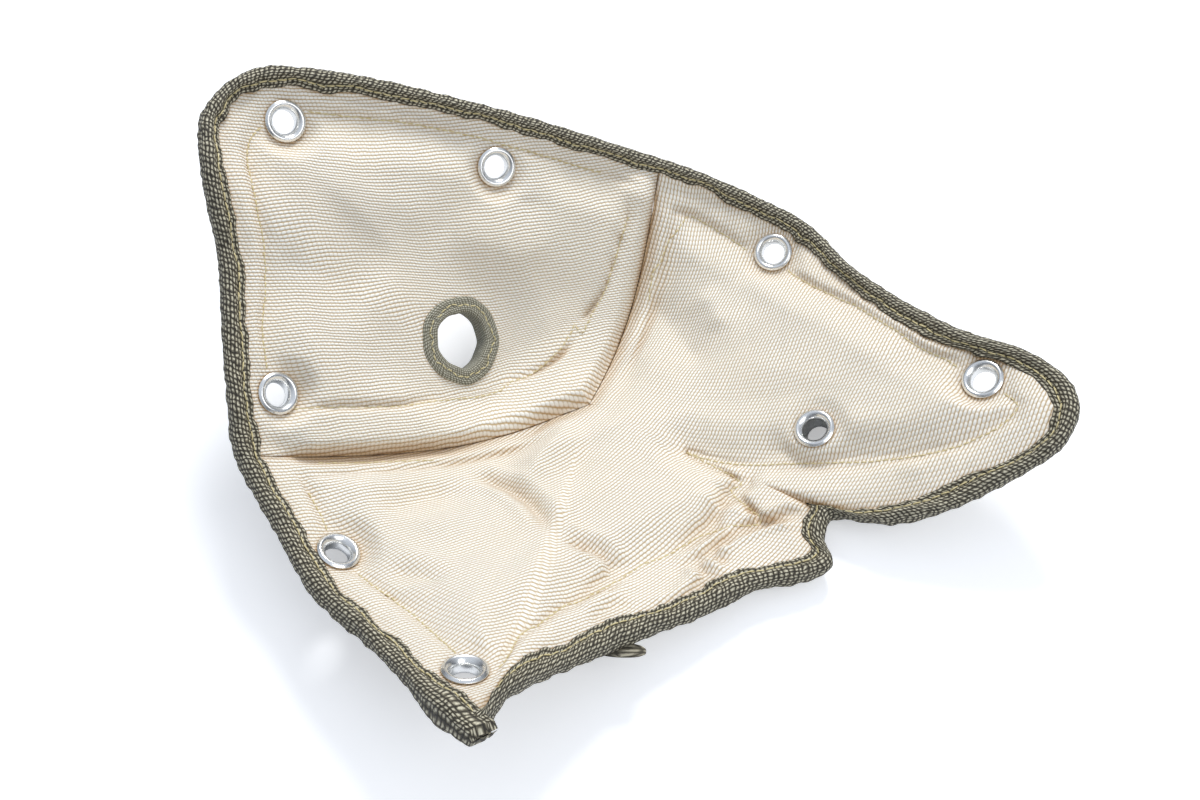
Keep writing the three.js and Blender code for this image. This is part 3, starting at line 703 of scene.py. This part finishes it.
def onTape(turn, past, inset, height):  # inset and height are measured on the tape's section
    place = blanket["cornerPlace"] - turn
    over = ease(turn, edgeCount - 1.5, edgeCount - 0.6) * binding["endLift"]
    middle = edgeStack / 2
    edge = edgeAt(place)
    wobble = waves(edge, 21, [(42, 0.5), (17, 0.5), (7, 0.3)])
    swell = 1 + 0.1 * waves(edge, 22, [(23, 1.0), (11, 0.8), (5, 0.3)])
    narrow = np.interp(place % edgeCount, *np.array(binding["narrowing"], dtype=float).T)
    drawnIn = wobble * ease(inset, 2, 7) - over * (1 - ease(inset, 2.5, 4))
    inset = inset * (1 + (narrow - 1) * ease(inset, 1, 4)) + drawnIn
    closing = 1 - 0.3 * ease(past, 0, 6) - 0.62 * ease(past, binding["runPast"] - 1.4, binding["runPast"])
    height = middle + (height - middle) * swell * closing + np.tanh((height - middle) * 2) * over * closing
    points = onCloth(place, shareAtInset(place, inset), height)
    ahead = unit(edgeAt(place - 0.05) - edgeAt(place + 0.05))
    lift = liftAt(place, np.ones(place.shape))
    square = edge + np.cross(lift, ahead) * inset[..., None] + lift * height[..., None]
    start, end = binding["squaring"]
    weight = (ease(-place, -start, -end) * (turn > edgeCount / 2))[..., None]
    straight = unit(edgeAt(binding["endPlace"] - 0.05) - edgeAt(binding["endPlace"] + 0.05))
    return points * (1 - weight) + square * weight + straight * past[..., None]


def bindingPiece():
    turn, length, past = tapeRun(binding["steps"][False])
    section = spaced(binding["section"], binding["columns"][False])
    across = np.concatenate([[0], np.cumsum(np.linalg.norm(np.diff(section, axis=0), axis=1))])
    points = onTape(turn[:, None], past[:, None], section[None, :, 0], section[None, :, 1])
    normal = unit(np.cross(np.gradient(points, axis=1), np.gradient(points, axis=0)))
    lumps = waves(points, 23, binding["lumps"])
    seam = 1 - 0.8 * np.exp(-((section[:, 0] - binding["threadInset"]) / 0.5)**2)
    points = points + normal * (lumps * seam)[..., None]
    inner = np.array(binding["inner"])
    innerPoints = onTape(turn[:, None], past[:, None], inner[None, :, 0], inner[None, :, 1])
    loop = np.concatenate([points, innerPoints], axis=1)
    rows, columns = loop.shape[:2]
    faces = gridFaces(rows, columns, closeColumns=True).tolist()
    u = np.broadcast_to(length[:, None], (rows, columns))
    v = np.concatenate([across, np.linspace(across[-1], 0, len(inner))])
    v = np.broadcast_to(v[None, :], (rows, columns))
    weave = np.stack([u, v], axis=-1).reshape(-1, 2)
    ends = []
    for start in (0, (rows - 1) * columns):
        outer, count = points.shape[1], len(inner)
        for k in range(outer - 1):
            a = outer + min(count - 1, int((outer - 1 - k) * (count - 1) / (outer - 1)))
            b = outer + min(count - 1, int((outer - 2 - k) * (count - 1) / (outer - 1)))
            quad = [start + k, start + k + 1] + ([start + b, start + a] if a != b else [start + a])
            ends.append(quad if start == 0 else quad[::-1])
    return meshPiece("binding_tape", loop.reshape(-1, 3), faces + ends, edgeTape, weave)


bindingTape = bindingPiece()
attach(bindingTape, "root")
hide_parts("edge_binding")
print("edge binding made, tape length in mm:", round(float(tapeRun(900)[1][-1])))

# Sensor hole binding

holeBinding = {
    "sides": {True: 60, False: 300},
    "columns": {True: 20, False: 60},
    "section": [(15.8, -0.3), (15.7, 0.4), (14.5, 1.0), (13.0, 0.8), (11.6, 1.2), (10.5, 1.0), (9.9, 0.1),
                (9.8, -2.8), (9.9, -5.4), (10.6, -6.6), (12.6, -6.8), (14.6, -6.6), (15.0, -6.0)],
    "threadRadius": 12.9,
}


def onHoleRing(angle, radius, height):
    side = unit(np.cross(holeAxis, [0.3, 1.0, 0.1]))
    front = np.cross(holeAxis, side)
    uneven = 0.28 * np.sin(3 * angle + 0.6) + 0.2 * np.sin(5 * angle + 2) + 0.12 * np.sin(9 * angle)
    radius = radius + uneven
    radial = np.cos(angle)[..., None] * side + np.sin(angle)[..., None] * front
    level = height + quilt["holeLevel"] + 0.1 * np.sin(4 * angle + 1)
    return holeCentre + radial * radius[..., None] + holeAxis * level[..., None]


def holeRing():
    angle = np.linspace(0, 2 * math.pi, holeBinding["sides"][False], endpoint=False)[:, None]
    section = spaced(holeBinding["section"], holeBinding["columns"][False])
    back = np.array([(11.0, -5.7), (10.9, -0.2)])
    section = np.concatenate([section, back])
    across = np.concatenate([[0], np.cumsum(np.linalg.norm(np.diff(section, axis=0), axis=1))])
    loop = onHoleRing(angle, section[None, :, 0], section[None, :, 1])
    rows, columns = loop.shape[:2]
    weave = np.stack(np.broadcast_arrays(angle * 12.2, across[None, :]), axis=-1).reshape(-1, 2)
    faces = gridFaces(rows, columns, closeRows=True, closeColumns=True, flip=True)
    return meshPiece("hole_tape_ring", loop.reshape(-1, 3), faces, holeTape, weave)


holeTapeRing = holeRing()
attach(holeTapeRing, "root")
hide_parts("sensor_hole_binding")
print("hole binding made")

# Sewing

sewing = {
    "tapeStitch": (3.3, 3.0),  # pitch and length
    "pocketStitch": (2.5, 2.25),
    "holeStitch": (2.6, 2.2),
    "threadRadius": 0.2,
    "tapeThreadRadius": 0.24,
    "sides": 6,
    # stitch lines of the upper and lower pockets beside the seams
    "besideSeams": [
        quilt["upperSeamLine"][1:-1],
        [(33, 80, 29), (25, 72, 23), (22, 66, 18), (19, 62, 15), (18, 53, 7)],
        [(-96, -32, 27), (-84, -28, 20), (-72, -24, 14), (-58, -20, 7)],
    ],
}


def stitchRow(name, line, normals, pitch, length, radius=sewing["threadRadius"]):
    walked = np.concatenate([[0], np.cumsum(np.linalg.norm(np.diff(line, axis=0), axis=1))])
    starts = np.arange(0.4, walked[-1] - length, pitch)
    sides = sewing["sides"]
    angles = np.linspace(0, 2 * math.pi, sides, endpoint=False)
    profile = [(0.0, 0.25, -0.9), (0.12, 1.0, 0.1), (0.5, 1.1, 0.55), (0.88, 1.0, 0.1), (1.0, 0.25, -0.9)]
    rng = np.random.default_rng(len(name))
    pull = rng.uniform(-0.25, 0.25, (len(starts), 2))
    rings = []
    for share, wide, high in profile:
        at = starts + share * length
        centre = np.stack([np.interp(at, walked, line[:, k]) for k in range(3)], axis=-1)
        normal = unit(np.stack([np.interp(at, walked, normals[:, k]) for k in range(3)], axis=-1))
        ahead = unit(np.stack([np.interp(at + 0.2, walked, line[:, k]) for k in range(3)], axis=-1) - centre)
        side = np.cross(normal, ahead)
        sway = (pull[:, :1] * (1 - share) + pull[:, 1:] * share)
        centre = centre + normal * high * radius + side * sway
        rings.append(centre[:, None] + radius * wide * (np.cos(angles)[None, :, None] * side[:, None]
                                                        + np.sin(angles)[None, :, None] * normal[:, None]))
    points = np.stack(rings, axis=1)
    each = len(profile) * sides
    one = gridFaces(len(profile), sides, closeColumns=True)
    faces = np.concatenate([one + each * k for k in range(len(starts))]).tolist()
    for k in range(len(starts)):
        faces.append([each * k + s for s in range(sides)])
        faces.append([each * (k + 1) - 1 - s for s in range(sides)])
    piece = meshPiece(name, points.reshape(-1, 3), faces, thread)
    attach(piece, "root")
    return piece


linerTrees = []
for liner in liners.values():
    mesh = liner.data
    polygons = [tuple(p.vertices) for p in mesh.polygons]
    linerTrees.append(BVHTree.FromPolygons([v.co for v in mesh.vertices], polygons))


def onLiner(points, lifts):  # the points dropped onto the liner's face, leaving out those over a hole
    kept = []
    for point, lift in zip(toWorld(points), lifts):
        direction = Vector(lift)
        hits = [tree.ray_cast(Vector(point) + direction * 0.02, -direction, 0.04) for tree in linerTrees]
        hits = [hit for hit in hits if hit[0] is not None]
        if hits:
            best = min(hits, key=lambda hit: hit[3])
            kept.append((*(np.array(best[0]) * 1000 - np.array(blanket["originShift"])), *lift))
    kept = np.array(kept)
    return kept[:, :3], kept[:, 3:]


def clearOfEyelets(line, normals):  # pieces of a stitch line between the eyelets
    clear = np.ones(len(line), dtype=bool)
    for centre in eyeletCentres.values():
        clear &= np.linalg.norm(line - centre, axis=-1) > eyelets["flangeRadius"] + 1.5
    cuts = np.flatnonzero(np.diff(clear.astype(int))) + 1
    for part in np.split(np.arange(len(line)), cuts):
        if clear[part[0]] and len(part) > 6:
            yield line[part], normals[part]


def sewTape():
    turn, length, past = (run[:-5] for run in tapeRun(900))
    zero = np.zeros(len(turn))
    line = onTape(turn, past, zero + binding["threadInset"], zero + 3.42)
    normals = liftAt(blanket["cornerPlace"] - turn, np.ones(len(turn)))
    stitchRow("tape_stitches", line, normals, *sewing["tapeStitch"], sewing["tapeThreadRadius"])
    under = onTape(turn, past, zero + 5.1, zero - 1.4)
    stitchRow("tape_stitches_outside", under, -normals, *sewing["tapeStitch"], sewing["tapeThreadRadius"])


def sewPockets():
    count = 0
    for panel, (first, last) in blanket["panels"].items():
        table = np.array(quilt["pocketInset"][panel], dtype=float)
        place = np.linspace(first + 0.9, last - 0.6, 700)
        share = shareAtInset(place, np.interp(place, table[:, 0], table[:, 1]))
        line, normals = onLiner(outerFace(place, share), liftAt(place, share))
        for part, partNormals in clearOfEyelets(line, normals):
            count += 1
            stitchRow(f"pocket_stitches_{count}", part, partNormals, *sewing["pocketStitch"])
    for guide in sewing["besideSeams"]:
        guide = spaced(guide, 200)
        lifts = np.array([liftNear(point) for point in guide])
        line, normals = onLiner(guide, lifts)
        count += 1
        stitchRow(f"pocket_stitches_{count}", line, normals, *sewing["pocketStitch"])


gridPlace, gridShare = np.broadcast_arrays(np.linspace(0, edgeCount, 421)[:, None],
                                           np.linspace(0.02, 1, 50)[None, :])
gridPoints, gridLifts = outerFace(gridPlace, gridShare), liftAt(gridPlace, gridShare)


def liftNear(point):
    nearest = np.argmin(np.sum((gridPoints - point)**2, axis=-1))
    return gridLifts.reshape(-1, 3)[nearest]


def sewHole():
    angle = np.linspace(0, 2 * math.pi, 240)
    wander = 0.45 * np.sin(7 * angle) + 0.25 * np.sin(17 * angle + 1)
    line = onHoleRing(angle, holeBinding["threadRadius"] + wander, 1.0 + 0 * angle)
    stitchRow("hole_stitches", line, np.broadcast_to(holeAxis, line.shape), *sewing["holeStitch"])


backTab = {"place": 29.3, "width": 17.0, "reach": 6.0, "thickness": 1.8}


def coverTab():  # end of the cover's seam tape, folded out under the bottom edge
    u = np.linspace(0, 1, 25)[:, None]
    v = np.linspace(0, 2 * math.pi, 20, endpoint=False)[None, :]
    at = np.array(backTab["place"])
    edge, out, lift = edgeAt(at), outwardAt(at, 1.0), liftAt(at, 1.0)
    along = np.cross(lift, out)
    reach = (0.32 - u) * backTab["reach"]
    rounding = np.sqrt(np.clip(1 - np.abs(2 * u - 1)**3, 0, 1))
    wide = backTab["width"] / 2 * np.cos(v) * rounding
    thick = backTab["thickness"] / 2 * np.sin(v) * rounding
    points = (edge + out * reach[..., None] + along * wide[..., None]
              + lift * (thick - 1.9 - 0.12 * reach)[..., None])
    weave = np.stack(np.broadcast_arrays(u * backTab["reach"], v * 1.5), axis=-1).reshape(-1, 2)
    faces = gridFaces(25, 20, closeColumns=True)
    piece = meshPiece("cover_tab", points.reshape(-1, 3), faces, coverCloth, weave)
    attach(piece, "root")


coverTab()
sewTape()
sewPockets()
sewHole()
print("sewing done")

# Eyelets

eyeletLook = {
    "sides": {True: 24, False: 72},
    "profile": [(4.0, -2.4), (4.02, -1.2), (4.25, -0.45), (4.6, 0.05), (5.0, 0.5), (5.4, 0.88), (5.8, 1.08),
                (6.2, 1.1), (6.55, 0.92), (6.8, 0.6), (7.05, 0.5), (7.15, 0.3), (7.05, 0.05), (4.9, -0.2),
                (4.62, -0.9)],  # radius and height over the liner
    "tail": [(4.6, -0.2), (5.2, -0.3), (5.3, -0.7), (4.9, -1.0), (4.3, -0.9), (4.0, -0.3)],
    "washer": [(4.9, 0.0), (7.0, 0.0), (7.05, -0.3), (6.6, -0.62), (5.2, -0.6), (4.9, -0.4)],
}


def turnedPiece(name, profile, origin, axis, sides, material):
    angles = np.linspace(0, 2 * math.pi, sides, endpoint=False)
    side = unit(np.cross(axis, [0.3, 1.0, 0.1]))
    front = np.cross(axis, side)
    profile = np.asarray(profile)
    ring = np.cos(angles)[:, None, None] * side + np.sin(angles)[:, None, None] * front
    points = origin + ring * profile[None, :, :1] + axis * profile[None, :, 1:]
    faces = gridFaces(sides, len(profile), closeRows=True, closeColumns=True)
    return meshPiece(name, points.reshape(-1, 3), faces, material)


for name, (place, share) in eyeletSeats.items():
    stack = seats["liner"]["wing" if name in eyelets["wing"] else "row"]
    axis = liftAt(place, share)
    centre = outerFace(place, share)
    top = centre + axis * (stack + 0.3)
    back = centre - axis * 0.4
    sides = eyeletLook["sides"][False]
    tail = [(r, h - stack - 1.0) for r, h in eyeletLook["tail"]]
    eyelet = turnedPiece(name + "_shell", eyeletLook["profile"] + tail, top, axis, sides, steel)
    washer = turnedPiece(name + "_back_washer", eyeletLook["washer"], back, axis, sides, steel)
    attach(eyelet, "root")
    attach(washer, "root")
    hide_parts(name)
    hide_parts(name.replace("_", "_washer_"))
print("eyelets made")

# Studio

studio = {
    "floorColor": "#F4F5F7",
    "camera": {"lift": 21.0, "distance": 490.0, "pitch": 55.0, "focal": 42.0},
    "key": {"energy": 11.5, "size": 0.42, "place": (0.1, 0.85, 1.0)},
    "fill": {"energy": 4.0, "size": 0.9, "place": (0.6, -0.6, 0.9)},
    "horizon": 0.1,
    "zenith": 0.8,
}


def buildStudio():
    scene = bpy.context.scene
    scene.view_settings.view_transform = "Standard"
    world = bpy.data.worlds.new("studio")
    scene.world = world
    world.use_nodes = True
    tree = world.node_tree
    tree.nodes.clear()
    rays = addNode(tree, "LightPath")
    axes = addNode(tree, "SeparateXYZ", {"Vector": addNode(tree, "TexCoord")})
    room = addNode(tree, "MapRange", {"Value": axes.outputs[2], "From Min": 0.05, "From Max": 0.9,
                                      "To Min": studio["horizon"], "To Max": studio["zenith"]})
    soft = addNode(tree, "Background", {"Color": linear("#E6EEFB"), "Strength": room})
    white = addNode(tree, "Background", {"Color": (1, 1, 1, 1), "Strength": 1.0})
    mix = addNode(tree, "MixShader", {0: rays.outputs["Is Camera Ray"], 1: soft, 2: white})
    addNode(tree, "OutputWorld", {"Surface": mix})

    floorMesh = bpy.data.meshes.new("floor")
    floorMesh.from_pydata([(-4, -4, 0), (4, -4, 0), (4, 4, 0), (-4, 4, 0)], [], [(0, 1, 2, 3)])
    floor = bpy.data.objects.new("floor", floorMesh)
    scene.collection.objects.link(floor)
    material = bpy.data.materials.new("floor paper")
    material.use_nodes = True
    tree = material.node_tree
    tree.nodes.clear()
    rays = addNode(tree, "LightPath")
    paper = addNode(tree, "BsdfDiffuse", {"Color": linear(studio["floorColor"])})
    glow = addNode(tree, "Emission", {"Strength": 0.38})
    lifted = addNode(tree, "AddShader", {0: paper, 1: glow})
    place = addNode(tree, "TexCoord").outputs["Object"]
    away = addNode(tree, "VectorMath", {0: place}, operation="LENGTH").outputs["Value"]
    faded = addNode(tree, "MapRange", {"Value": away, "From Min": 0.3, "From Max": 0.8})
    white = addNode(tree, "Emission", {"Strength": 1.0})
    seen = addNode(tree, "MixShader", {0: faded, 1: lifted, 2: white})
    mix = addNode(tree, "MixShader", {0: rays.outputs["Is Camera Ray"], 1: paper, 2: seen})
    addNode(tree, "OutputMaterial", {"Surface": mix})
    floorMesh.materials.append(material)

    for name in ("key", "fill"):
        look = studio[name]
        lamp = bpy.data.lights.new(name, "AREA")
        lamp.shape = "DISK"
        lamp.size = look["size"]
        lamp.energy = look["energy"]
        holder = bpy.data.objects.new(name, lamp)
        holder.location = look["place"]
        holder.rotation_euler = (-Vector(look["place"])).to_track_quat("-Z", "Y").to_euler()
        scene.collection.objects.link(holder)


def buildCamera():
    look = studio["camera"]
    pitch = math.radians(look["pitch"])
    ahead = np.array([0, math.cos(pitch), -math.sin(pitch)])
    eye = toWorld(np.array([0, 0, look["lift"]]) - ahead * look["distance"])
    camera = bpy.data.cameras.new("camera")
    camera.lens = look["focal"]
    camera.sensor_width = 36.0
    camera.clip_start = 0.01
    holder = bpy.data.objects.new("camera", camera)
    holder.location = eye
    holder.rotation_euler = (math.pi / 2 - pitch, 0, 0)
    bpy.context.scene.collection.objects.link(holder)
    bpy.context.scene.camera = holder


buildStudio()
buildCamera()
print("studio made")
